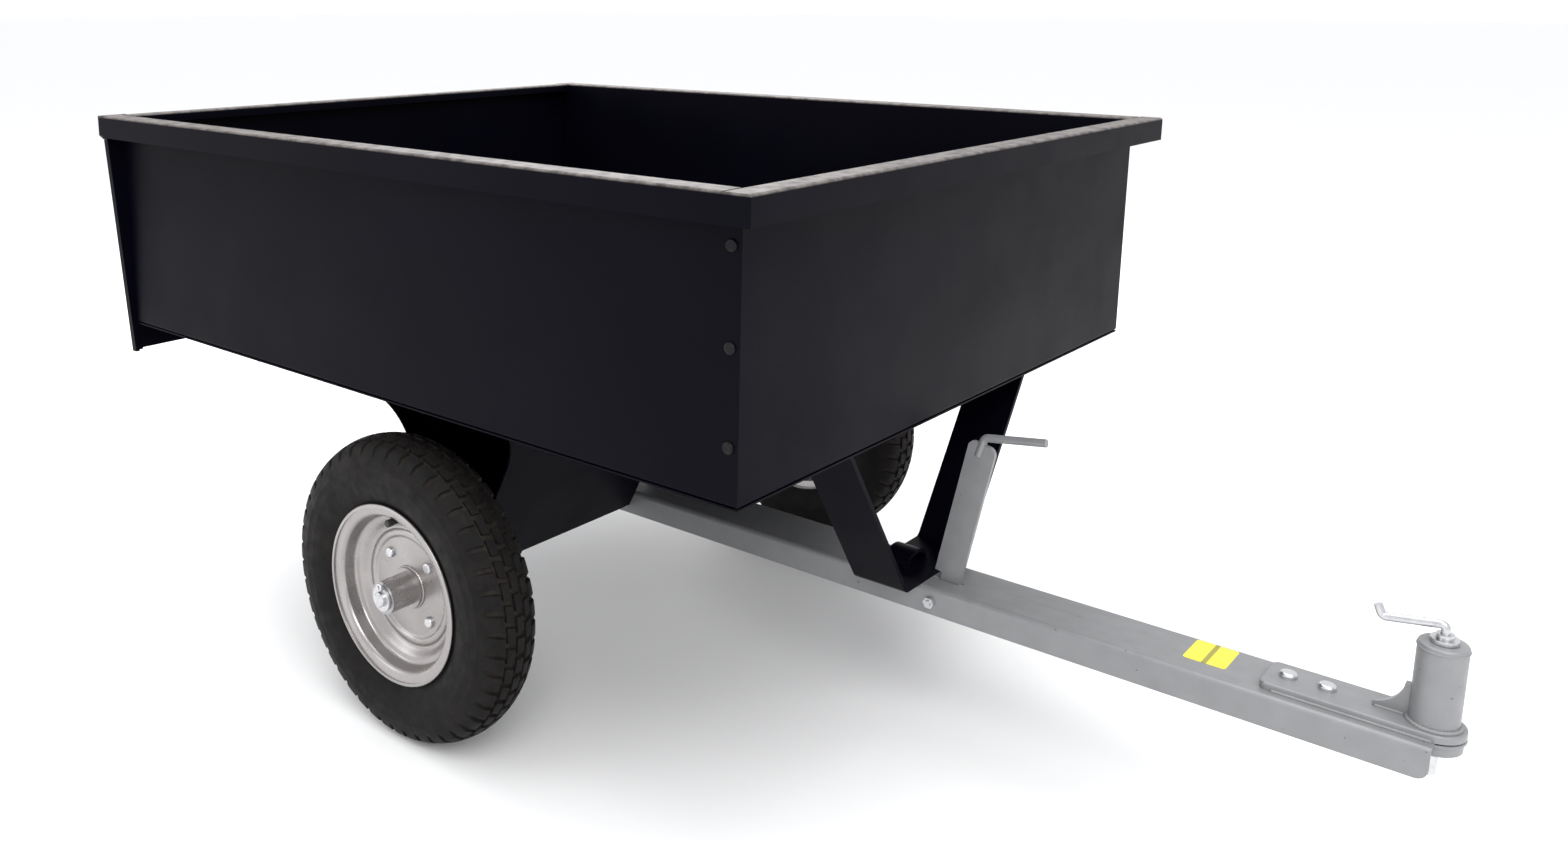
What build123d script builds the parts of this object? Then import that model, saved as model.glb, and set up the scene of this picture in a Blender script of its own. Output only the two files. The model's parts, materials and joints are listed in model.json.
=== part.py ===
from build123d import *
import os
from math import cos, radians, sin, tan

# Two-wheeled tipping garden cart with a long drawbar, towed behind a ride-on mower.
# +X points forward along the drawbar, +Y is the left side, +Z is up, and the tyres
# stand on z = 0. The origin is under the middle of the whole length. Millimetres.

# ---- wheels and axle ----
tyre_radius = 200.0
tyre_width = 84.0
wheel_y = 456.0
axle_radius = 9.5
axle_end_y = 511.0
running_gap = 0.05
bead_radius = 104.0
rim_sheet = 2.5
rim_edge_radius = 117.0
rim_bolt_radius = 52.0
rim_bolt_count = 4
hub_radius = 21.0
hub_bore = 17.5
hub_half = 45.0
bearing_width = 11.0
bearing_flange = 1.5
valve_radius = 95.5
cotter_radius = 1.6
cotter_y = 508.0
cotter_length = 28.0
collar_radius = 14.0
end_washer_radius = 16.0
collar_gap = 0.5

# ---- load bed, measured forward of the axle ----
bed_width = 950.0
bed_front_reach = 523.0
bed_rear_reach = 629.0
bed_floor_z = 447.0
bed_top_z = 766.0
sheet = 2.0
rim_width = 32.0
lip_drop = 32.0
flange = 26.0
flange_gap = 1.0
corner_ear = 24.0
bend = 3.0

# ---- tailgate and the channels that it slides in ----
channel_depth = 10.0
channel_lip_y = 463.0
channel_foot_z = 402.0
channel_foot_half = 479.0
channel_shoulder = (500.0, 730.0)
gate_play = 1.5
gate_flange_half = 471.0
gate_flange = 20.0
gate_lip = 14.0

# ---- drawbar ----
bar_width = 90.0
bar_top_z = 213.0
bar_height = 35.0
bar_sheet = 3.0
bar_reach = 1055.0
bar_tail = 22.0
bar_end_round = 12.0
drain_hole_reach = 395.0
label_reach = (806.0, 852.0)
label_y = (-14.0, 38.0)
label_film = 0.3

# ---- hitch ----
hitch_reach = 1048.0
hitch_nose = 30.0
hitch_plate_tail = 890.0
hitch_plate_thick = 8.0
hitch_bolt_reach = (912.0, 950.0)
hitch_ring_radius = 28.0
hitch_ring_thick = 12.0
pin_radius = 8.0
pin_shank_radius = 8.25
pin_play = 0.5
pin_step = 1.0
pin_collar = (13.0, 4.5)
grip_length = 56.0
grip_tip = 61.0
gusset_length = 32.0
gusset_height = 34.0
gusset_edge = 5.0
gusset_thick = 8.0
pin_foot_z = 165.0
sleeve_radius = 23.0
sleeve_wall = 4.5
sleeve_height = 82.0
sleeve_cap = 5.0
handle_radius = 4.5

# ---- axle support under the bed ----
support_sheet = 2.5
support_slope = 26.5
support_half_width = 377.0
ear_half_width = 465.0
ear_radius = 88.0
ear_centre_z = 355.0
pipe_radius = 13.5
pipe_bore = 10.85
pipe_inner_y = 49.5
pipe_outer_y = 375.5
bush_flange = 1.5
bush_length = 25.0
bar_slot_half = 49.0
bar_slot_top_z = 240.0
support_flange = 32.0

# ---- V bracket, latch and lock loop ----
v_rear_reach = 424.0
v_front_reach = 496.0
v_thick = 6.0
v_rest_gap = 0.5
v_foot_half = 80.0
v_top_half = 231.0
v_flange_half = 268.0
lever_reach = 511.0
lever_pivot_z = 195.0
lever_lean = 11.6
lever_half = 18.0
lever_length = 212.0
lever_thick = 6.0
lever_y = -10.0
lever_round = 14.0
lever_slot = (23.0, 26.0, 4.5)
lever_bolt_radius = 4.0
lever_bolt_head = (8.0, 5.0)
lever_nut = (7.5, 6.5)
spacer_radius = 8.0
spacer_gap = 0.4
grip_foot_rise = (36.0, 192.0)
grip_bend_rise = (43.0, 216.0)
grip_end_rise = (121.0, 227.0)
lever_grip_radius = 5.0
latch_notch = ((15.0, 27.0), 10.0)
loop_reach = 432.0
loop_length = 34.0
loop_half = (25.0, 17.0)
loop_thick = 5.0

# ---- fasteners: shank radius, head radius, head height, nut radius, nut height ----
panel_screw = (3.0, 6.5, 2.5, 5.6, 4.0)
support_screw = (4.0, 9.0, 3.5, 7.4, 6.0)
hitch_screw = (5.0, 9.0, 6.0, 9.0, 8.0)
rim_screw = (4.0, 7.2, 5.0, 7.2, 6.0)
hole_play = 0.3
screw_tail = 2.0
side_seat_inset = 14.0
front_seat_inset = 15.0
corner_seat_inset = 12.0
corner_seat_heights = (510.0, 610.0, 710.0)
front_seat_y = (-360.0, -120.0, 120.0, 360.0)
support_seat_y = (-400.0, -200.0, 0.0, 200.0, 400.0)
support_seat_out = 17.0
v_seat_y = 252.0
v_seat_reach = (443.0, 477.0)

# ---- worked out ----
axle_z = tyre_radius
front_end = hitch_reach + hitch_nose
axle_x = (bed_rear_reach - front_end) / 2
half_bed = bed_width / 2
rim_half = half_bed + rim_width
bed_front = axle_x + bed_front_reach
bed_rear = axle_x - bed_rear_reach
floor_top_z = bed_floor_z + sheet
inner_flange_y = half_bed - flange - flange_gap
lip_foot_z = bed_top_z - lip_drop
under_rim_z = bed_top_z - sheet
bar_bottom_z = bar_top_z - bar_height
hitch_x = axle_x + hitch_reach
plate_top_z = bar_top_z + hitch_plate_thick
sleeve_top_z = plate_top_z + sleeve_height
cap_top_z = sleeve_top_z + sleeve_cap
sides = {"left": 1, "right": -1}
axle_line = Axis((axle_x, 0, axle_z), (0, 1, 0))

os.makedirs("parts", exist_ok=True)


def save(solid, name):
    """Label one finished piece and write its STEP file."""
    solid.label = name
    export_step(solid, f"parts/{name}.step")


def span(side, low, high):
    """The (low, high) pair on +Y, or the same pair mirrored to -Y."""
    return (low, high) if side > 0 else (-high, -low)


def slab(x, y, z, mode=Mode.ADD):
    """A block between the (low, high) pairs x, y and z."""
    with Locations((x[0], y[0], z[0])):
        Box(x[1] - x[0], y[1] - y[0], z[1] - z[0], align=(Align.MIN,) * 3, mode=mode)


def bent_sheet(plane, points, thickness, length, radius=bend):
    """Sheet folded along a line of points on the plane, extruded along its normal."""
    with BuildSketch(plane) as edge_on:
        with BuildLine():
            FilletPolyline(*points, radius=radius)
        trace(line_width=thickness)
    extrude(edge_on.sketch, amount=length)


def holes(places, radius, depth=20.0):
    """Round holes through the sheets at fastener places, each a plane on the seat."""
    with Locations(*places):
        Cylinder(radius + hole_play, depth, mode=Mode.SUBTRACT)


def screw(size, grip):
    """One round-headed screw with its nut: seat at z = 0, head above, nut below the grip."""
    shank, head, head_height, nut, nut_height = size
    with BuildPart() as one:
        Cylinder(shank, grip + nut_height + screw_tail, align=(Align.CENTER, Align.CENTER, Align.MAX))
        Cylinder(head, head_height, align=(Align.CENTER, Align.CENTER, Align.MIN))
        fillet(one.edges().group_by(Axis.Z)[-1], head_height * 0.6)
        with BuildSketch(Plane.XY.offset(-grip)):
            RegularPolygon(nut, 6)
        extrude(amount=-nut_height)
    return one.part


def screws(name, places, size, grip):
    """A group of identical screws, one at each place."""
    single = screw(size, grip)
    with BuildPart() as group:
        with Locations(*places):
            add(single)
    save(group.part, name)


def ring(plane_y, radius, bore, length):
    """A ring about the axle line, starting at plane_y and running towards +Y."""
    seat = Plane(origin=(axle_x, plane_y, axle_z), x_dir=(1, 0, 0), z_dir=(0, 1, 0))
    with BuildSketch(seat) as end_on:
        Circle(radius)
        Circle(bore, mode=Mode.SUBTRACT)
    extrude(end_on.sketch, amount=length)


# ---- fastener places, each a plane on the seat with its normal out of the head ----
side_seat_x = (bed_rear + 60, bed_rear + 320, axle_x + 40, axle_x + 250, bed_front - 70)
side_flange_seats = [
    Plane((x, side * (half_bed - side_seat_inset), floor_top_z + sheet))
    for side in sides.values()
    for x in side_seat_x
]
front_flange_seats = [
    Plane((bed_front - front_seat_inset, y, floor_top_z + sheet)) for y in front_seat_y
]
corner_seats = [
    Plane((bed_front - corner_seat_inset, side * half_bed, z), x_dir=(1, 0, 0), z_dir=(0, side, 0))
    for side in sides.values()
    for z in corner_seat_heights
]
support_top_half = tan(radians(support_slope)) * (
    bed_floor_z - axle_z + (pipe_radius + support_sheet) / sin(radians(support_slope))
)
support_seats = [
    Plane((axle_x + facing * (support_top_half + support_seat_out), y, floor_top_z))
    for facing in (1, -1)
    for y in support_seat_y
]
v_seats = [
    Plane((axle_x + reach, side * v_seat_y, floor_top_z))
    for side in sides.values()
    for reach in v_seat_reach
]

# ---- load bed ----
with BuildPart() as bed_floor:
    slab((bed_rear + channel_depth, bed_front), (-half_bed, half_bed), (bed_floor_z, floor_top_z))
    holes(side_flange_seats + front_flange_seats, panel_screw[0])
    holes(support_seats + v_seats, support_screw[0])
save(bed_floor.part, "bed_floor")


def side_panel(side):
    """Side wall with an inward foot flange, an outward rim and a turned-down lip."""
    wall = half_bed - sheet / 2
    rim = rim_half - sheet / 2
    top = bed_top_z - sheet / 2
    foot = floor_top_z + sheet / 2
    outline = [
        (side * inner_flange_y, foot),
        (side * wall, foot),
        (side * wall, top),
        (side * rim, top),
        (side * rim, lip_foot_z),
    ]
    start = bed_rear + channel_depth
    with BuildPart() as panel:
        bent_sheet(Plane.YZ.offset(start), outline, sheet, bed_front - sheet - start)
        holes(side_flange_seats + corner_seats, panel_screw[0])
    return panel.part


for name, side in sides.items():
    save(side_panel(side), f"side_panel_{name}")

with BuildPart() as front_panel:
    rim_front = bed_front + rim_width - sheet / 2
    panel_outline = [
        (bed_front - flange - flange_gap, floor_top_z + sheet / 2),
        (bed_front - sheet / 2, floor_top_z + sheet / 2),
        (bed_front - sheet / 2, bed_top_z - sheet / 2),
        (rim_front, bed_top_z - sheet / 2),
        (rim_front, lip_foot_z),
    ]
    bent_sheet(Plane.XZ.offset(-rim_half), panel_outline, sheet, 2 * rim_half)
    for side in sides.values():
        behind = bed_front - flange - bend
        beside_wall = (floor_top_z - sheet, under_rim_z)
        beside_foot = (floor_top_z - sheet, floor_top_z + 2 * sheet)
        clear_wall = span(side, half_bed, rim_half + bend)
        clear_foot = span(side, inner_flange_y - flange_gap, rim_half + bend)
        slab((behind, bed_front + flange_gap), clear_wall, beside_wall, Mode.SUBTRACT)
        slab((behind, bed_front - sheet), clear_foot, beside_foot, Mode.SUBTRACT)
        ear_y = span(side, half_bed - 2 * sheet, half_bed - sheet)
        ear_z = (floor_top_z + 2 * bend, bed_top_z - 2 * bend)
        slab((bed_front - corner_ear, bed_front - sheet / 2), ear_y, ear_z)
    holes(front_flange_seats + corner_seats, panel_screw[0])
save(front_panel.part, "front_panel")

with BuildPart() as rim_corner_caps:
    for side in sides.values():
        cap_x = (bed_front - sheet, bed_front + rim_width - sheet)
        slab(cap_x, span(side, rim_half - sheet, rim_half), (lip_foot_z, under_rim_z))
    top_edges = rim_corner_caps.edges().filter_by(Axis.Y).group_by(Axis.Z)[-1]
    chamfer(top_edges.group_by(Axis.X)[-1], bend - sheet / 2 + 0.2)
save(rim_corner_caps.part, "rim_corner_caps")


def gate_half(side, inner, inset, start, depth, mode=Mode.ADD):
    """Half of the tapered gate shape, from y = inner outwards, as a block from start forwards."""
    shoulder_half, shoulder_z = channel_shoulder
    points = [
        (inner, channel_foot_z + inset),
        (channel_foot_half - inset, channel_foot_z + inset),
        (shoulder_half - inset, shoulder_z),
        (rim_half - inset, lip_foot_z + bend),
        (rim_half - inset, bed_top_z),
        (inner, bed_top_z),
    ]
    with BuildSketch(Plane.YZ.offset(start)) as shape:
        with BuildLine():
            Polyline(*((side * y, z) for y, z in points), close=True)
        make_face()
    extrude(shape.sketch, amount=depth, mode=mode)


def gate_channel(side):
    """Upright tapered channel outside a rear corner, open inwards, that the tailgate slides in."""
    pocket = bed_rear + sheet
    wall_inside = half_bed - sheet
    with BuildPart() as channel:
        gate_half(side, channel_lip_y, 0, bed_rear, channel_depth)
        gate_half(side, channel_lip_y - 1, sheet, pocket, channel_depth - 2 * sheet, Mode.SUBTRACT)
        inner_y = span(side, channel_lip_y - 1, wall_inside)
        slab((pocket, bed_rear + channel_depth), inner_y, (channel_foot_z - 1, bed_top_z + 1), Mode.SUBTRACT)
    return channel.part


for name, side in sides.items():
    save(gate_channel(side), f"gate_channel_{name}")

with BuildPart() as tailgate:
    gate_x = bed_rear + channel_depth / 2
    gate_outline = [
        (gate_x, channel_foot_z + sheet + gate_play),
        (gate_x, bed_top_z - sheet / 2),
        (gate_x + gate_flange, bed_top_z - sheet / 2),
        (gate_x + gate_flange, bed_top_z - gate_lip),
    ]
    bent_sheet(Plane.XZ.offset(-gate_flange_half), gate_outline, sheet, 2 * gate_flange_half)
    for side in sides.values():
        gate_half(side, gate_flange_half, sheet + gate_play, gate_x - sheet / 2, sheet)
save(tailgate.part, "tailgate")


# ---- axle support: two sloping panels that meet round the axle pipes ----
def support_panel(facing):
    """Sloping panel from the floor to the axle pipe, with an ear at each top corner."""
    slope = radians(support_slope)
    reach = pipe_radius + support_sheet / 2
    foot = (facing * reach * cos(slope), -reach * sin(slope))
    rise = bed_floor_z - support_sheet / 2 - axle_z
    top_x = foot[0] + facing * (rise - foot[1]) * tan(slope)
    outline = [foot, (top_x, rise), (top_x + facing * support_flange, rise)]
    seat = Plane((axle_x, ear_half_width, axle_z), x_dir=(1, 0, 0), z_dir=(0, -1, 0))
    with BuildPart() as panel:
        bent_sheet(seat, outline, support_sheet, 2 * ear_half_width)
        with BuildSketch(Plane.YZ.offset(axle_x - 250)):
            for side in sides.values():
                with BuildLine():
                    low = (side * support_half_width, 150)
                    bow = (side * support_half_width, ear_centre_z)
                    tip = (side * ear_half_width, ear_centre_z + ear_radius)
                    Line(low, bow)
                    RadiusArc(bow, tip, side * ear_radius)
                    Polyline(tip, (side * 500, tip[1]), (side * 500, 150), low)
                make_face()
            with Locations((0, bar_slot_top_z)):
                Rectangle(2 * bar_slot_half, 150, align=(Align.CENTER, Align.MAX))
        extrude(amount=500, mode=Mode.SUBTRACT)
        holes(support_seats, support_screw[0])
    return panel.part


save(support_panel(1), "axle_support_front")
save(support_panel(-1), "axle_support_rear")

for name, side in sides.items():
    with BuildPart() as axle_pipe:
        ring(span(side, pipe_inner_y, pipe_outer_y)[0], pipe_radius, pipe_bore, pipe_outer_y - pipe_inner_y)
    save(axle_pipe.part, f"axle_pipe_{name}")

with BuildPart() as axle_bushes:
    bush_bore = axle_radius + running_gap
    for side in sides.values():
        for inner, flange_at in ((pipe_inner_y, -1), (pipe_outer_y, 1)):
            body = (inner, inner + bush_length) if flange_at < 0 else (inner - bush_length, inner)
            head = (inner - bush_flange, inner) if flange_at < 0 else (inner, inner + bush_flange)
            ring(span(side, *body)[0], pipe_bore, bush_bore, bush_length)
            ring(span(side, *head)[0], pipe_radius, bush_bore, bush_flange)
save(axle_bushes.part, "axle_bushes")

# ---- V bracket that rests the bed on the drawbar ----
with BuildPart() as v_bracket:
    v_foot_z = bar_top_z + v_rest_gap + v_thick / 2
    v_top_z = bed_floor_z - v_thick / 2
    v_outline = [
        (-v_flange_half, v_top_z),
        (-v_top_half, v_top_z),
        (-v_foot_half, v_foot_z),
        (v_foot_half, v_foot_z),
        (v_top_half, v_top_z),
        (v_flange_half, v_top_z),
    ]
    v_width = v_front_reach - v_rear_reach
    bent_sheet(Plane.YZ.offset(axle_x + v_rear_reach), v_outline, v_thick, v_width, 12)
    holes(v_seats, support_screw[0])
save(v_bracket.part, "v_bracket")

with BuildPart() as lock_loop:
    loop_z = bar_top_z + v_rest_gap + v_thick
    with BuildSketch(Plane.YZ.offset(axle_x + loop_reach)):
        with Locations((0, loop_z)):
            Ellipse(*loop_half)
            Ellipse(*(half - loop_thick for half in loop_half), mode=Mode.SUBTRACT)
            below = (3 * loop_half[0], loop_half[0])
            Rectangle(*below, align=(Align.CENTER, Align.MAX), mode=Mode.SUBTRACT)
    extrude(amount=loop_length)
save(lock_loop.part, "lock_loop")

panel_seats = side_flange_seats + front_flange_seats + corner_seats
screws("panel_screws", panel_seats, panel_screw, 2 * sheet)
screws("support_screws", support_seats, support_screw, sheet + support_sheet)
screws("v_bracket_screws", v_seats, support_screw, sheet + v_thick)

# ---- drawbar: channel, open side down ----
hitch_seats = [Plane((axle_x + reach, 0, plate_top_z)) for reach in hitch_bolt_reach]
lever_x = axle_x + lever_reach
with BuildPart() as drawbar:
    cheek = bar_width / 2 - bar_sheet / 2
    web = bar_top_z - bar_sheet / 2
    bar_outline = [(-cheek, bar_bottom_z), (-cheek, web), (cheek, web), (cheek, bar_bottom_z)]
    bar_length = bar_reach + bar_tail
    bent_sheet(Plane.YZ.offset(axle_x - bar_tail), bar_outline, bar_sheet, bar_length, 5)
    fillet(drawbar.edges().filter_by(Axis.Y).group_by(Axis.Z)[0], bar_end_round)
    for centre, bore in (((axle_x, axle_z), axle_radius + running_gap),
                         ((lever_x, lever_pivot_z), lever_bolt_radius + hole_play)):
        with Locations(Plane((centre[0], 0, centre[1]), x_dir=(1, 0, 0), z_dir=(0, 1, 0))):
            Cylinder(bore, bar_width + 10, mode=Mode.SUBTRACT)
    slot_back, slot_front, slot_half = lever_slot
    slot_x = (lever_x - slot_back, lever_x + slot_front)
    slot_z = (bar_top_z - 2 * bar_sheet, bar_top_z + bar_sheet)
    slab(slot_x, (lever_y - slot_half, lever_y + slot_half), slot_z, Mode.SUBTRACT)
    holes(hitch_seats, hitch_screw[0], 30)
    with Locations((hitch_x, 0, bar_top_z), (axle_x + drain_hole_reach, 0, bar_top_z)):
        Cylinder(pin_radius + pin_play, 12, mode=Mode.SUBTRACT)
save(drawbar.part, "drawbar")

with BuildPart() as drawbar_label:
    label_x = [axle_x + reach for reach in label_reach]
    slab(label_x, label_y, (bar_top_z, bar_top_z + label_film))
save(drawbar_label.part, "drawbar_label")

with BuildPart() as axle:
    with Locations(Plane((axle_x, 0, axle_z), x_dir=(1, 0, 0), z_dir=(0, 1, 0))):
        Cylinder(axle_radius, 2 * axle_end_y)
    chamfer(axle.edges().filter_by(GeomType.CIRCLE), 1.5)
    for side in sides.values():
        with Locations((axle_x, side * cotter_y, axle_z)):
            Cylinder(cotter_radius + 0.1, 3 * axle_radius, mode=Mode.SUBTRACT)
save(axle.part, "axle")

with BuildPart() as axle_collars:
    collar_bore = axle_radius + running_gap
    inner_hub_y = wheel_y - hub_half - bearing_flange
    outer_hub_y = wheel_y + hub_half + bearing_flange
    for side in sides.values():
        inner_sleeve = (pipe_outer_y + bush_flange + 2 * collar_gap, inner_hub_y - collar_gap)
        end_washer = (outer_hub_y + collar_gap, cotter_y - cotter_radius - collar_gap)
        bar_spacer = (bar_width / 2, pipe_inner_y - bush_flange - collar_gap)
        for ends, radius in ((inner_sleeve, collar_radius), (end_washer, end_washer_radius),
                             (bar_spacer, collar_radius)):
            ring(span(side, *ends)[0], radius, collar_bore, ends[1] - ends[0])
save(axle_collars.part, "axle_collars")

with BuildPart() as cotter_pins:
    for side in sides.values():
        with Locations((axle_x, side * cotter_y, axle_z)):
            Cylinder(cotter_radius, cotter_length)
        eye_z = axle_z + cotter_length / 2 + 1.5 * cotter_radius
        with Locations(Plane((axle_x, side * cotter_y, eye_z), z_dir=(0, 1, 0))):
            Torus(2.25 * cotter_radius, cotter_radius)
save(cotter_pins.part, "cotter_pins")

# ---- hitch ----
with BuildPart() as hitch_plate:
    with BuildSketch(Plane.XY.offset(bar_top_z)):
        slab_length = hitch_reach - hitch_plate_tail
        with Locations((hitch_x, 0)):
            Circle(hitch_nose)
            Rectangle(slab_length, 2 * hitch_nose, align=(Align.MAX, Align.CENTER))
            Circle(pin_radius + pin_play, mode=Mode.SUBTRACT)
    extrude(amount=hitch_plate_thick)
    fillet(hitch_plate.edges().filter_by(Axis.Z).group_by(Axis.X)[0], 8)
    fillet(hitch_plate.edges().group_by(Axis.Z)[-1].group_by(Axis.X)[-1], 2)
    holes(hitch_seats, hitch_screw[0], 30)
save(hitch_plate.part, "hitch_plate")

with BuildPart() as hitch_ring:
    with BuildSketch(Plane.XY.offset(bar_top_z - bar_sheet)):
        with Locations((hitch_x, 0)):
            Circle(hitch_ring_radius)
            Circle(pin_radius + pin_play, mode=Mode.SUBTRACT)
    extrude(amount=-hitch_ring_thick)
save(hitch_ring.part, "hitch_ring")

with BuildPart() as hitch_sleeve:
    with BuildSketch(Plane.XY.offset(plate_top_z)):
        with Locations((hitch_x, 0)):
            Circle(sleeve_radius)
            Circle(sleeve_radius - sleeve_wall, mode=Mode.SUBTRACT)
    extrude(amount=sleeve_height)
save(hitch_sleeve.part, "hitch_sleeve")

with BuildPart() as sleeve_top:
    with Locations((hitch_x, 0, sleeve_top_z)):
        Cylinder(sleeve_radius, sleeve_cap, align=(Align.CENTER, Align.CENTER, Align.MIN))
        Cylinder(pin_radius + pin_play, 3 * sleeve_cap, mode=Mode.SUBTRACT)
    fillet(sleeve_top.edges().group_by(Axis.Z)[-1].sort_by(SortBy.RADIUS)[-1], 3)
save(sleeve_top.part, "sleeve_cap")

with BuildPart() as hitch_gusset:
    weld_face = hitch_x - sleeve_radius + gusset_edge
    gusset_x = hitch_x - sleeve_radius - gusset_length
    with BuildSketch(Plane.XZ.offset(-gusset_thick / 2)):
        with BuildLine():
            head = (weld_face, plate_top_z + gusset_height)
            nose = (hitch_x - sleeve_radius - gusset_edge, plate_top_z + gusset_height)
            heel = (gusset_x, plate_top_z + gusset_edge)
            Polyline(heel, (gusset_x, plate_top_z), (weld_face, plate_top_z), head, nose)
            RadiusArc(nose, heel, gusset_length)
        make_face()
    extrude(amount=gusset_thick)
    with Locations((hitch_x, 0, plate_top_z)):
        Cylinder(sleeve_radius, 3 * gusset_height, mode=Mode.SUBTRACT)
save(hitch_gusset.part, "hitch_gusset")

screws("hitch_screws", hitch_seats, hitch_screw, hitch_plate_thick + bar_sheet)

with BuildPart() as hitch_pin:
    collar_half, collar_height = pin_collar
    collar_z = cap_top_z + pin_play
    shank_top = collar_z + 2 * collar_height
    step_z = bar_top_z - bar_sheet - hitch_ring_thick - pin_step
    upright = (Align.CENTER, Align.CENTER, Align.MIN)
    with Locations((hitch_x, 0, pin_foot_z)):
        Cylinder(pin_radius, step_z - pin_foot_z, align=upright)
    chamfer(hitch_pin.edges().group_by(Axis.Z)[0], 2)
    with Locations((hitch_x, 0, step_z)):
        Cylinder(pin_shank_radius, shank_top - step_z, align=upright)
    with Locations((hitch_x, 0, collar_z)):
        Cylinder(collar_half, collar_height, align=upright)
    with BuildLine() as grip_path:
        start_z = shank_top - handle_radius
        FilletPolyline(
            (hitch_x, 0, start_z),
            (hitch_x, 0, start_z + 14),
            (hitch_x - grip_length, 0, start_z + 5),
            (hitch_x - grip_tip, 0, start_z + 17),
            radius=handle_radius + 0.5,
        )
    with BuildSketch(Plane((hitch_x, 0, start_z))):
        Circle(handle_radius)
    sweep(path=grip_path.line)
save(hitch_pin.part, "hitch_pin")

# ---- latch lever, shown released: it leans forward and hooks the V bracket when pulled back ----
with BuildPart() as latch_lever:
    lean = radians(lever_lean)
    blade = Plane((lever_x, lever_y + lever_thick / 2, lever_pivot_z),
                  x_dir=(cos(lean), 0, -sin(lean)), z_dir=(0, -1, 0))
    with BuildSketch(blade):
        Rectangle(2 * lever_half, lever_length, align=(Align.CENTER, Align.MIN))
        Circle(lever_round)
        notch, notch_depth = latch_notch
        with Locations((-lever_half, notch[0])):
            Rectangle(notch_depth, notch[1] - notch[0], align=(Align.MIN, Align.MIN), mode=Mode.SUBTRACT)
        Circle(lever_bolt_radius + hole_play, mode=Mode.SUBTRACT)
    extrude(amount=lever_thick)
    fillet(latch_lever.edges().filter_by(Axis.Y).group_by(Axis.Z)[-1], 8)
    fillet(latch_lever.edges().filter_by(Axis.Y).group_by(Axis.X)[-1], 10)
    grip_points = [
        (lever_x + forward, lever_y, lever_pivot_z + rise)
        for forward, rise in (grip_foot_rise, grip_bend_rise, grip_end_rise)
    ]
    with BuildLine() as lever_grip:
        FilletPolyline(*grip_points, radius=8)
    with BuildSketch(Plane(grip_points[0], z_dir=lever_grip.line @ 0.01 - lever_grip.line @ 0)):
        Circle(lever_grip_radius)
    sweep(path=lever_grip.line)
save(latch_lever.part, "latch_lever")

with BuildPart() as latch_pivot:
    bolt_axis = Plane((lever_x, bar_width / 2, lever_pivot_z), x_dir=(1, 0, 0), z_dir=(0, 1, 0))
    with Locations(bolt_axis):
        Cylinder(lever_bolt_radius, bar_width + 10, align=(Align.CENTER, Align.CENTER, Align.MAX))
        Cylinder(*lever_bolt_head, align=(Align.CENTER, Align.CENTER, Align.MIN))
    nut_radius, nut_height = lever_nut
    with BuildSketch(bolt_axis.offset(-bar_width)):
        RegularPolygon(nut_radius, 6)
    extrude(amount=-nut_height)
save(latch_pivot.part, "latch_pivot_bolt")

with BuildPart() as latch_spacers:
    inside_bar = bar_width / 2 - bar_sheet
    beside_lever = lever_thick / 2 + spacer_gap
    for low, high in ((lever_y + beside_lever, inside_bar), (-inside_bar, lever_y - beside_lever)):
        with BuildSketch(Plane((lever_x, low, lever_pivot_z), x_dir=(1, 0, 0), z_dir=(0, 1, 0))):
            Circle(spacer_radius)
            Circle(lever_bolt_radius + hole_play, mode=Mode.SUBTRACT)
        extrude(amount=high - low)
save(latch_spacers.part, "latch_spacers")


# ---- wheels ----
def wheel_section(side):
    """Plane through the axle line: local x is the radius, local y the distance outwards."""
    return Plane((axle_x, side * wheel_y, axle_z), x_dir=(1, 0, 0), z_dir=(0, 0, side))


def tyre(side):
    """Hollow tyre with three grooves round the tread."""
    half = tyre_width / 2
    shoulder = (tyre_radius - 10, half - 9)
    bead = (bead_radius, half - 15)
    bead_top = (bead_radius + 8, half - 14)
    with BuildPart() as one:
        with BuildSketch(wheel_section(side)):
            with BuildLine():
                Line(bead, bead_top)
                ThreePointArc(bead_top, (150, half), shoulder)
                ThreePointArc(shoulder, (tyre_radius, 0), (shoulder[0], -shoulder[1]))
                ThreePointArc((shoulder[0], -shoulder[1]), (150, -half), (bead_top[0], -bead_top[1]))
                Polyline((bead_top[0], -bead_top[1]), (bead[0], -bead[1]), bead)
            casing = make_face()
            offset(casing, amount=-7, mode=Mode.SUBTRACT)
            with Locations((bead_radius, 0)):
                Rectangle(20, tyre_width - 42, mode=Mode.SUBTRACT)
            with Locations((tyre_radius - 1, -16), (tyre_radius, 0), (tyre_radius - 1, 16)):
                Rectangle(6, 4, mode=Mode.SUBTRACT)
        revolve(axis=axle_line)
    return one.part


def inner_tube(side):
    """Hollow air tube inside the tyre."""
    with BuildPart() as one:
        with BuildSketch(wheel_section(side)):
            with Locations((153, 0)):
                Ellipse(37, 32)
                Ellipse(35, 30, mode=Mode.SUBTRACT)
        revolve(axis=axle_line)
    return one.part


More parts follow.
